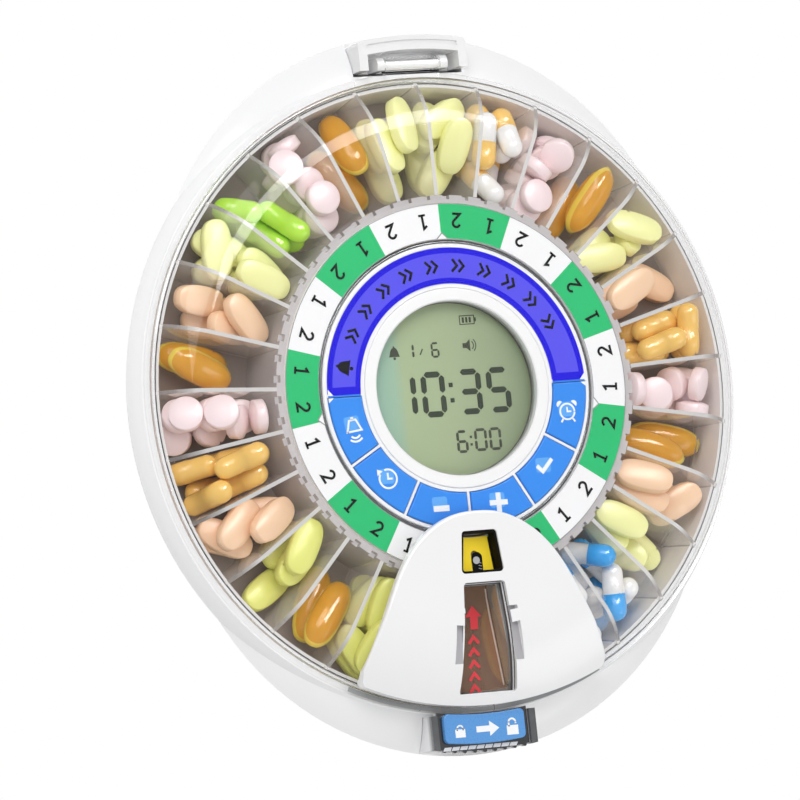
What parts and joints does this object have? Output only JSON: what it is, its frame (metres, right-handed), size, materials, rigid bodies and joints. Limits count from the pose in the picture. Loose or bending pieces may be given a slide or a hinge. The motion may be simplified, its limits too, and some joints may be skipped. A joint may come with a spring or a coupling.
{
  "type": "automatic pill dispenser",
  "caption": "Round automatic pill dispenser: a rotating tray of compartments under a clear hinged lid, with a keyed alarm display in the middle and a window that lets the dose out.",
  "frame": {"origin": "centre of the feet's rest plane, which is the centre of the bounding box's bottom", "axes": "+Z out of the display, +Y from the latch to the hinge, +X to the reader's right"},
  "size_m": [0.2016, 0.221, 0.0552],
  "materials": {
    "white_casing": "satin white moulding",
    "clear_lid": "clear, slightly smoky",
    "clear_tray": "clear, smoky grey",
    "ring_print": "printed green and white day fields",
    "yellow_start": "satin",
    "black_plastic": "fine matte",
    "purple_label": "printed label",
    "blue_keys": "satin",
    "blue_plate": "printed label",
    "smoky_clear": "clear, smoky grey",
    "clear_window": "clear",
    "display_face": "grey-green liquid crystal",
    "board_green": "solder mask",
    "grey_rubber": "matte",
    "bright_steel": "bright",
    "gear_nylon": "natural nylon",
    "brass": "machined",
    "cell_jacket": "plain sleeve"
  },
  "bodies": {
    "base": {"base_shell": "white_casing", "top_casing": "white_casing", "feet": "grey_rubber", "casing_screws": "bright_steel", "hub_housing": "white_casing", "hub_fascia": "white_casing", "alarm_label": "purple_label", "display_bezel": "white_casing", "display_window": "clear_window", "display_module": "display_face", "key_mat": "grey_rubber", "main_board": "board_green", "buzzer": "brass", "tilt_switch": "gear_nylon", "drive_gearbox": "gear_nylon", "drive_motor": "bright_steel", "battery_bay": "black_plastic", "batteries": "cell_jacket", "battery_contacts": "bright_steel", "hinge_block": "white_casing", "hinge_pin": "bright_steel", "latch_housing": "smoky_clear", "latch_springs": "bright_steel"},
    "tray": {"tray_floor": "clear_tray", "tray_outer_wall": "clear_tray", "tray_inner_wall": "clear_tray", "tray_dividers": "clear_tray", "ring_gear": "gear_nylon", "number_ring": "ring_print", "start_sector": "yellow_start", "start_screw": "bright_steel", "start_plate": "clear_tray"},
    "pinion": {"drive_pinion": "brass"},
    "lid": {"lid_panel": "clear_lid", "wedge_cover": "white_casing", "marker_sleeve": "black_plastic"},
    "latch": {"latch_slider": "smoky_clear", "latch_plate": "blue_plate"},
    "battery_door": {"battery_door": "white_casing"},
    "button_bell": {"key_bell": "blue_keys"},
    "button_clock": {"key_clock": "blue_keys"},
    "button_minus": {"key_minus": "blue_keys"},
    "button_plus": {"key_plus": "blue_keys"},
    "button_confirm": {"key_confirm": "blue_keys"},
    "button_alarm": {"key_alarm": "blue_keys"}
  },
  "joints": [
    {"name": "lid_hinge", "type": "hinge", "parent": "base", "child": "lid", "pos_m": [0, 0.1006, 0.0404], "axis": [-1, 0, 0], "range_deg": [0, 105]},
    {"name": "latch_slide", "type": "slide", "parent": "base", "child": "latch", "axis": [0, -1, 0], "range_m": [0, 0.0025], "stiffness_N_per_m": 800, "springref_m": -0.002, "deforming": ["latch_springs"]},
    {"name": "tray_spin", "type": "hinge", "parent": "base", "child": "tray", "pos_m": [0, 0, 0.025], "axis": [0, 0, 1], "continuous": true},
    {"name": "pinion_spin", "type": "hinge", "parent": "base", "child": "pinion", "pos_m": [0, 0.041, 0.027], "axis": [0, 0, 1], "continuous": true},
    {"name": "battery_door_slide", "type": "slide", "parent": "base", "child": "battery_door", "axis": [0, -1, 0], "range_m": [0, 0.004]},
    {"name": "bell_press", "type": "slide", "parent": "base", "child": "button_bell", "axis": [0, 0, -1], "range_m": [0, 0.0006], "stiffness_N_per_m": 1500, "springref_m": -0.0004},
    {"name": "clock_press", "type": "slide", "parent": "base", "child": "button_clock", "axis": [0, 0, -1], "range_m": [0, 0.0006], "stiffness_N_per_m": 1500, "springref_m": -0.0004},
    {"name": "minus_press", "type": "slide", "parent": "base", "child": "button_minus", "axis": [0, 0, -1], "range_m": [0, 0.0006], "stiffness_N_per_m": 1500, "springref_m": -0.0004},
    {"name": "plus_press", "type": "slide", "parent": "base", "child": "button_plus", "axis": [0, 0, -1], "range_m": [0, 0.0006], "stiffness_N_per_m": 1500, "springref_m": -0.0004},
    {"name": "confirm_press", "type": "slide", "parent": "base", "child": "button_confirm", "axis": [0, 0, -1], "range_m": [0, 0.0006], "stiffness_N_per_m": 1500, "springref_m": -0.0004},
    {"name": "alarm_press", "type": "slide", "parent": "base", "child": "button_alarm", "axis": [0, 0, -1], "range_m": [0, 0.0006], "stiffness_N_per_m": 1500, "springref_m": -0.0004}
  ],
  "couplings": [
    {"joint": "pinion_spin", "follows": "tray_spin", "ratio": 7.3077}
  ]
}
